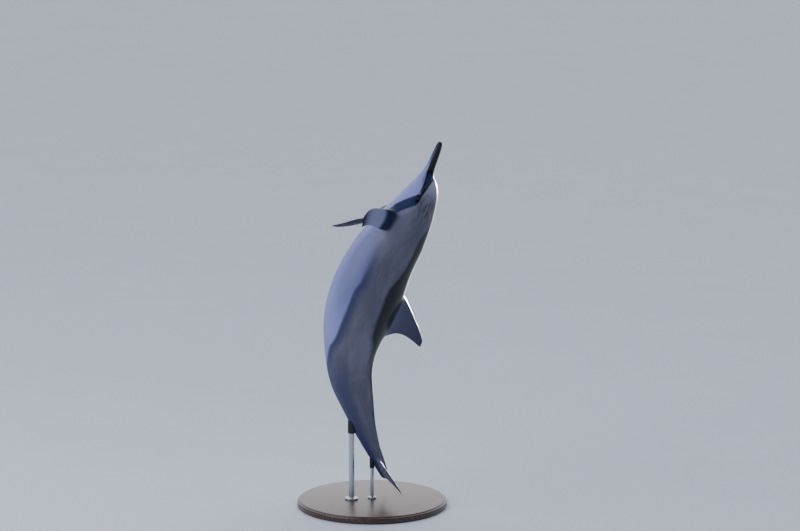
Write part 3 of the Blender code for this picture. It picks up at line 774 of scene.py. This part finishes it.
def dolphin_skin():
    """Painted and lacquered cast of wet dolphin skin: even satin gloss over soft-edged bands of colour."""
    made, tree, shader = new_material("lacquered_dolphin_skin", IOR=1.36, Coat_Roughness=0.16)
    read = {
        name: add(tree, "Attribute", out="Fac", attribute_name=name)
        for name in (
            "pale", "pale_gap", "band", "cape", "ink", "fin", "flipper", "flipper_inner_shade", "fin_out", "along",
            "degrees",
        )
    }
    along, gap, turn, fin_out = (read[name] for name in ("along", "pale_gap", "degrees", "fin_out"))
    straight = add(tree, "Attribute", out="Vector", attribute_name="straight")
    drawn_out, combed = (
        add(tree, "VectorMath", {0: straight, 1: (share, 1.0, 1.0)}, operation="MULTIPLY")
        for share in (0.30, 0.08)
    )
    # Each noise: what it is read on, the size of its features in mm, its detail and its roughness.
    # Skin ridges are half a millimetre apart, too fine to show, so they are drawn at 4 mm.
    wavering, clouds, fine, streaks, brow_streaks, sheen, ripples, ridges = (
        add(tree, "TexNoise", {"Vector": on, "Scale": 1 / (size * MM), "Detail": detail, "Roughness": rough})
        for on, size, detail, rough in (
            (drawn_out, 45, 3.0, 0.55),
            (drawn_out, 100, 4.0, 0.55),
            (drawn_out, 7, 4.0, 0.65),
            (combed, 6, 2.0, 0.55),
            (combed, 10, 3.0, 0.55),
            (drawn_out, 20, 3.0, 0.55),
            (drawn_out, 22, 3.0, 0.55),
            (combed, 4, 3.0, 0.55),
        )
    )
    # Each marking's mask, its edge broken up a little.
    wobble = add(tree, "Math", {0: wavering, 1: 1.6, 2: -0.8}, operation="MULTIPLY_ADD")
    edged = {}
    for name, wobbling in (("cape", 1.0), ("band", 0.3), ("pale", 0.35), ("ink", 0.25)):
        moved = add(tree, "Math", {0: wobble, 1: wobbling, 2: read[name]}, operation="MULTIPLY_ADD")
        edged[name] = add(tree, "MapRange", {0: moved, 1: -1.0, 2: 1.0}, **SOFT)

    brow = layered(
        tree, "4A474E",
        (masked(tree, 1.0, (along, 0.172, 0.108)), "AFAEBA"),
        (masked(tree, 0.30, (brow_streaks, 0.35, 0.70)), "B4B2BE"),
    )
    cape = layered(tree, "0D0C11", (masked(tree, 1.0, (fine, 0.4, 0.75)), "19171A"))
    fins = layered(tree, "5A5C74", (fin_out, "34364A"))
    # Lavender: the bluish cast of sky-lit shade painted on a pale belly. Duller on the chest, which is
    # painted shade, and dusky towards the tip of the jaw.
    belly = layered(
        tree, "8486B6",
        (masked(tree, 1.0, (clouds, 0.30, 0.70)), "9698C8"),
        (masked(tree, 0.8, (along, 0.22, 0.27), (along, 0.56, 0.42), (turn, 172.0, 138.0)), "6E6E92"),
        (masked(tree, 0.80, (along, 0.085, 0.030)), "243054"),
    )
    # Slate-grey with painted light and shade: pale on the outer faces as if sunlit, darker at the tip and on
    # the inner face as painted shade, and navy over the root.
    flipper = layered(
        tree, "9A9AB4",
        (masked(tree, 1.0, (fin_out, 0.60, 1.0)), "2C2F42"),
        (read["flipper_inner_shade"], "2C2F42"),
        (masked(tree, 1.0, (fin_out, 0.38, 0.26)), "262D46"),
    )
    ink = layered(tree, "080A12", (masked(tree, 1.0, (along, 0.08, 0.14)), "080C18"))
    colour = layered(
        tree, "5C5A66",  # flank: purple-grey
        (masked(tree, 1.0, (clouds, 0.35, 0.68)), "726E7C"),  # cloudy at a hand's width
        (masked(tree, 0.25, (streaks, 0.52, 0.75)), "8A868E"),  # long faint streaks
        (masked(tree, 0.30, (along, 0.36, 0.27), (turn, 62.0, 112.0)), "A09CAA"),  # shoulder
        # A navy band along the pale field's edge.
        (masked(tree, 0.85, (gap, -0.062, -0.012), (gap, 0.004, -0.001), (along, 0.30, 0.44)), "2E3458"),
        (masked(tree, 1.0, (along, 0.24, 0.17), (turn, 110.0, 80.0)), brow),  # melon and forehead
        (masked(tree, 0.8, (along, 0.60, 0.72), (turn, 70.0, 125.0)), "33385C"),  # underside of the tail
        (edged["cape"], cape),
        (read["fin"], fins),
        (edged["band"], "2C3350"),  # from eye to flipper, and the cheek
        (edged["pale"], belly),
        (read["flipper"], flipper),
        (edged["ink"], ink),  # beak, lips, bridle and eye patch
        (masked(tree, 0.15, (fine, 0.70, 0.80)), "6A6778"),  # fine speckle
    )
    # Flippers and the band are duller than the rest.
    dull = add(tree, "Math", {0: read["flipper"], 1: edged["band"]}, operation="MAXIMUM")
    gloss = add(tree, "MapRange", {0: dull, 3: 0.5, 4: 0.12}, **SOFT)
    coat = add(tree, "MapRange", {0: dull, 3: 0.08, 4: 0.0}, **SOFT)
    rough = add(tree, "Math", {0: sheen, 1: 0.14, 2: 0.33}, operation="MULTIPLY_ADD")
    bump = add(tree, "Bump", {"Strength": 0.10, "Distance": 0.6 * MM, "Height": ridges})
    bump = add(tree, "Bump", {"Strength": 0.30, "Distance": 1.2 * MM, "Height": ripples, "Normal": bump})
    return link_up(
        made, shader, Base_Color=colour, Specular_IOR_Level=gloss, Coat_Weight=coat, Roughness=rough,
        Normal=bump,
    )


def eye_gloss():
    """Cast acrylic eye: near-black brown behind a clear, sharply shining face."""
    gloss = {"IOR": 1.45, "Roughness": 0.06, "Coat_Weight": 0.3, "Coat_Roughness": 0.02}
    made, tree, shader = new_material("acrylic_eye", **gloss)
    off_axis = add(tree, "Attribute", out="Fac", attribute_name="off_axis")
    fibres = add(tree, "TexNoise", {"Scale": 1 / (1.2 * MM), "Detail": 3.0})
    colour = layered(
        tree, "1C110C", (fibres, "3A261A"),  # iris
        (masked(tree, 1.0, (off_axis, 0.33, 0.27)), "020203"),  # pupil
        (masked(tree, 1.0, (off_axis, 0.62, 0.72)), "07070A"),  # round the iris
    )
    return link_up(made, shader, Base_Color=colour)


def walnut():
    """Turned walnut under satin varnish: dark brown with wavy growth rings and fine open pores."""
    made, tree, shader = new_material("varnished_walnut", IOR=1.5, Coat_Weight=0.25, Coat_Roughness=0.25)
    place = add(tree, "TexCoord", out="Object")
    plank = add(tree, "Mapping", {"Vector": place, "Scale": (1.0, 9.0, 9.0)})
    clouds = add(tree, "TexNoise", {"Vector": plank, "Scale": 1.6, "Detail": 3.0})
    growth = {"Vector": plank, "Scale": 1 / (2 * math.pi * 60 * MM), "Distortion": 7.0, "Detail": 3.0}
    rings = add(tree, "TexWave", {**growth, "Detail Scale": 1.4}, out=1, bands_direction="Y")
    combed = add(tree, "Mapping", {"Vector": place, "Scale": (25.0, 900.0, 900.0)})
    pores = add(tree, "TexNoise", {"Vector": combed, "Scale": 1.0, "Detail": 2.0})
    cloudy, pits, rough = (
        add(tree, "MapRange", {0: value, 1: low, 2: high, 3: start, 4: end})
        for value, low, high, start, end in (
            (clouds, 0.3, 0.7, 0.0, 0.5), (pores, 0.60, 0.72, 0.0, 0.6), (pores, 0.3, 0.8, 0.30, 0.48),
        )
    )
    colour = layered(tree, "2E1B12", (rings, "5A3A26"), (cloudy, "4A2E1E"), (pits, "1A0F0A"))
    bump = add(tree, "Bump", {"Strength": 0.12, "Distance": 0.2 * MM, "Height": pores})
    return link_up(made, shader, Base_Color=colour, Roughness=rough, Normal=bump)


def brushed_steel():
    """Stainless rod, brushed round its length: soft bright streaks, and hairlines round the rod."""
    made, tree, shader = new_material("brushed_stainless_steel", Metallic=1.0)
    place = add(tree, "TexCoord", out="Object")
    # Real hairlines are finer than 0.1 mm, so they are drawn at 0.8 mm to show.
    around = add(tree, "Mapping", {"Vector": place, "Scale": (20.0, 20.0, 1 / (0.8 * MM))})
    lines = add(tree, "TexNoise", {"Vector": around, "Scale": 1.0, "Detail": 2.0})
    colour = layered(tree, "A9ABAE", (lines, "CFD1D3"))
    rough = add(tree, "MapRange", {0: lines, 1: 0.3, 2: 0.7, 3: 0.24, 4: 0.40})
    bump = add(tree, "Bump", {"Strength": 0.08, "Distance": 0.05 * MM, "Height": lines})
    return link_up(made, shader, Base_Color=colour, Roughness=rough, Normal=bump)


def moulded_rubber():
    """Black rubber sleeve: dull, with a faint grain from its mould."""
    made, tree, shader = new_material("moulded_rubber", IOR=1.52)
    place = add(tree, "TexCoord", out="Object")
    grain = add(tree, "TexNoise", {"Vector": place, "Scale": 1 / (1.5 * MM), "Detail": 3.0})
    rough = add(tree, "MapRange", {0: grain, 1: 0.3, 2: 0.7, 3: 0.55, 4: 0.70})
    return link_up(made, shader, Base_Color=layered(tree, "131315", (grain, "232326")), Roughness=rough)


def pale_floor():
    """Matt painted studio floor: plain and pale, with the faintest mottle."""
    made, tree, shader = new_material("matt_floor_paint", Roughness=0.75)
    place = add(tree, "TexCoord", out="Object")
    mottle = add(tree, "TexNoise", {"Vector": place, "Scale": 2.5, "Detail": 2.0})
    return link_up(made, shader, Base_Color=layered(tree, "D6DAE0", (mottle, "DCDFE4")))


# ---------------------------------------------------------------- eyes and stand
CORNEA_RISE, CORNEA_FROM, CORNEA_TO = 0.5 * MM, math.radians(18), math.radians(40)
PUPIL_WIDE = 1.5  # a dolphin's pupil is wider than it is high
BASE_FOOT, BASE_COVE, BASE_LIP = 3 * MM, 9 * MM, 6 * MM  # the rounds at the base's foot and under its top
FOOT_WIDTH, FOOT_HEIGHT = 2.4, 12 * MM  # a rod's foot: its radius in rod radii, and its height
SLEEVE_WIDTH, SLEEVE_DOWN, SLEEVE_UP = 1.35, 34 * MM, 30 * MM  # radius in rod radii, and reach from the skin
SCREWS = 3


def build_eye(side, turn, finish):
    """An eyeball with a cornea that stands a little proud, its pole along the way the eye looks."""
    middle, axes = eye_frame(turn)
    shape = bmesh.new()
    bmesh.ops.create_uvsphere(shape, u_segments=48, v_segments=32, radius=1.0)
    local = np.array([vert.co for vert in shape.verts])
    polar = np.arccos(np.clip(local[:, 2], -1, 1))
    radius = EYE_RADIUS + CORNEA_RISE * (1 - ease(polar, CORNEA_FROM, CORNEA_TO))
    for vert, point in zip(shape.verts, np.array(middle) + (local * radius[:, None]) @ axes):
        vert.co = point
    shape.normal_update()
    bmesh.ops.recalc_face_normals(shape, faces=shape.faces)
    ball = mesh_of(shape, "eyeball_" + side)
    off_axis = np.hypot(local[:, 0] / PUPIL_WIDE, local[:, 1]) + (local[:, 2] < 0) * 1.0
    set_attribute(ball, "off_axis", off_axis)
    add_piece("eyeball_" + side, ball, finish, "eye", "eye_" + side)


def turned(name, profile, centre, finish, slot, segments=96, nodes=()):
    """A closed turned piece, from its profile of radii and heights, up from the axis and back to it."""
    shape = bmesh.new()
    rings = []
    for radius, height in profile:
        if radius == 0:
            rings.append([shape.verts.new((centre[0], centre[1], height))])
            continue
        ring = []
        for turn in (2 * math.pi * k / segments for k in range(segments)):
            x, y = centre[0] + radius * math.cos(turn), centre[1] + radius * math.sin(turn)
            ring.append(shape.verts.new((x, y, height)))
        rings.append(ring)
    for below, above in zip(rings, rings[1:]):
        for k in range(segments):
            under = [below[k - 1], below[k]] if len(below) > 1 else below
            over = [above[k], above[k - 1]] if len(above) > 1 else above
            shape.faces.new(under + over)
    bmesh.ops.recalc_face_normals(shape, faces=shape.faces)
    mesh = mesh_of(shape, name)
    add_piece(name, mesh, finish, slot, *nodes)
    mesh.set_sharp_from_angle(angle=math.radians(35))


def rounded(radius, height, edge):
    """Profile points of a rounded outer corner, going up."""
    turns = [math.pi / 2 * k / 5 for k in range(6)]
    return [(radius - edge + edge * math.cos(turn), height - edge + edge * math.sin(turn)) for turn in turns]


def build_stand(truth):
    low, high = (Vector(corner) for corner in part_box("stand_base"))
    radius, top = (high.x - low.x) / 2, high.z
    wood, steel, rubber = walnut(), brushed_steel(), moulded_rubber()
    cove_top = top - BASE_LIP
    profile = [(0, 0), (radius - BASE_FOOT, 0), (radius, BASE_FOOT), (radius, cove_top - BASE_COVE)]
    for turn in np.linspace(0, math.pi / 2, 7)[1:]:
        drop = (1 - math.cos(turn), 1 - math.sin(turn))
        profile.append((radius - BASE_COVE * drop[0], cove_top - BASE_COVE * drop[1]))
    profile += rounded(radius - BASE_COVE - 1.5 * MM, top, BASE_LIP - 1 * MM) + [(0, top)]
    turned("stand_base_turned", profile, (0, 0), wood, "stand_wood", 128, ("stand_base",))
    for name in ("stand_rod_front", "stand_rod_rear"):
        low, high = (Vector(corner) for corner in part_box(name))
        centre = ((low.x + high.x) / 2, (low.y + high.y) / 2)
        foot = (high.x - low.x) / 2
        rod = foot / FOOT_WIDTH
        level = low.z + FOOT_HEIGHT * 0.7  # the foot's upper face
        profile = [(0, low.z), (foot, low.z), *rounded(foot, level, 2 * MM)]
        collar = ((1.25, 0.86), (1.06, 1.0), (1.0, 1.6))  # radii in rod radii, heights in foot heights
        profile += [(rod * wide, low.z + FOOT_HEIGHT * tall) for wide, tall in collar]
        profile += [*rounded(rod, high.z, rod * 0.2), (0, high.z)]
        turned(name + "_brushed", profile, centre, steel, "stand_steel", 64, (name,))
        for k in range(SCREWS):
            turn = math.radians(90 + 360 / SCREWS * k)
            reach = (foot + rod * 1.25) / 2
            screw = (centre[0] + reach * math.cos(turn), centre[1] + reach * math.sin(turn))
            head = rod * 0.22
            # A domed head with a recess: radii in head radii, heights in mm over the foot.
            dome = ((0, -1.0), (1, -1.0), (1, 0.3), (0.8, 1.0), (0.35, 1.4), (0.30, 0.6), (0, 0.6))
            profile = [(head * wide, level + tall * MM) for wide, tall in dome]
            turned(f"{name}_screw_{k + 1}", profile, screw, steel, "stand_steel", 24)
        # The sleeve runs up into the skin, whose underside slants across the rod.
        skin = truth.ray_cast(Vector((*centre, low.z)), Vector((0, 0, 1)))[0].z
        bore, sleeve, foot = rod * 1.01, rod * SLEEVE_WIDTH, skin - SLEEVE_DOWN
        profile = [(bore, foot), (sleeve * 0.97, foot), (sleeve, foot + 2 * MM)]
        profile += [(sleeve, skin + SLEEVE_UP), (bore, skin + SLEEVE_UP), (bore, foot)]
        turned(name + "_sleeve", profile, centre, rubber, "stand_steel", 48)


# ---------------------------------------------------------------- floor, lights and camera
AZIMUTH, ELEVATION = math.radians(-10), math.radians(12)
RIGHT = Vector((math.cos(AZIMUTH), math.sin(AZIMUTH), 0))
AWAY = Vector((-math.sin(AZIMUTH), math.cos(AZIMUTH), 0))
UP = AWAY * math.sin(ELEVATION) + Vector((0, 0, math.cos(ELEVATION)))
TOWARDS = RIGHT.cross(UP)  # from the object to the camera
FRAME_WIDE, LENS, SENSOR = 4.075, 200.0, 36.0
TARGET = RIGHT * 0.1426 + UP * 1.2200  # what the middle of the picture shows


def build_floor():
    shape = bmesh.new()
    bmesh.ops.create_grid(shape, x_segments=8, y_segments=8, size=60.0)
    floor = placed("studio_floor", mesh_of(shape, "studio_floor"))
    floor.data.materials.append(pale_floor())


def add_light(name, kind, place, aim, power, colour, **settings):
    """A light at a place that is measured from what the middle of the picture shows, and aimed at another."""
    lamp = bpy.data.lights.new(name, kind)
    lamp.energy, lamp.color = power, colour
    for setting, value in settings.items():
        setattr(lamp, setting, value)
    light = placed(name, lamp)
    light.location = TARGET + place
    light.rotation_euler = (place - aim).to_track_quat("Z", "Y").to_euler()


def build_lights():
    """A narrow warm rim from behind, a wide cool fill from the left, and an even light for the floor."""
    warm, cool, middle = (1.0, 0.96, 0.90), (0.78, 0.86, 1.0), Vector()
    disk = {"shape": "DISK"}
    behind = RIGHT * 3.35 + UP * 1.15 - TOWARDS * 9.0
    add_light("back_rim", "AREA", behind, UP * -0.22, 58, warm, size=0.6, spread=math.radians(8), **disk)
    before = RIGHT * -5.0 + UP * 3.0 + TOWARDS * 3.4
    add_light("sky_fill", "AREA", before, middle, 260, cool, size=6.0, **disk)
    above = RIGHT * 0.2 + UP * 3.4 - TOWARDS * 2.8
    add_light("top_even", "SUN", above, middle, 2.0, warm, angle=math.radians(85))
    world = bpy.data.worlds.new("studio")
    world.use_nodes = True
    sky = world.node_tree.nodes["Background"].inputs
    sky["Color"].default_value, sky["Strength"].default_value = linear("B4C6EC"), 0.55
    bpy.context.scene.world = world


def build_camera():
    lens = bpy.data.cameras.new("camera")
    lens.lens, lens.sensor_width, lens.clip_end = LENS, SENSOR, 200.0
    camera = placed("camera", lens)
    camera.location = TARGET + TOWARDS * (FRAME_WIDE * LENS / SENSOR)
    camera.rotation_euler = Matrix((RIGHT, UP, TOWARDS)).transposed().to_euler()
    bpy.context.scene.camera = camera


build_camera()
true_surface = build_skin()
acrylic = eye_gloss()
for eye_side, eye_turn in SIDES.items():
    build_eye(eye_side, eye_turn, acrylic)
build_stand(true_surface)
build_floor()
build_lights()
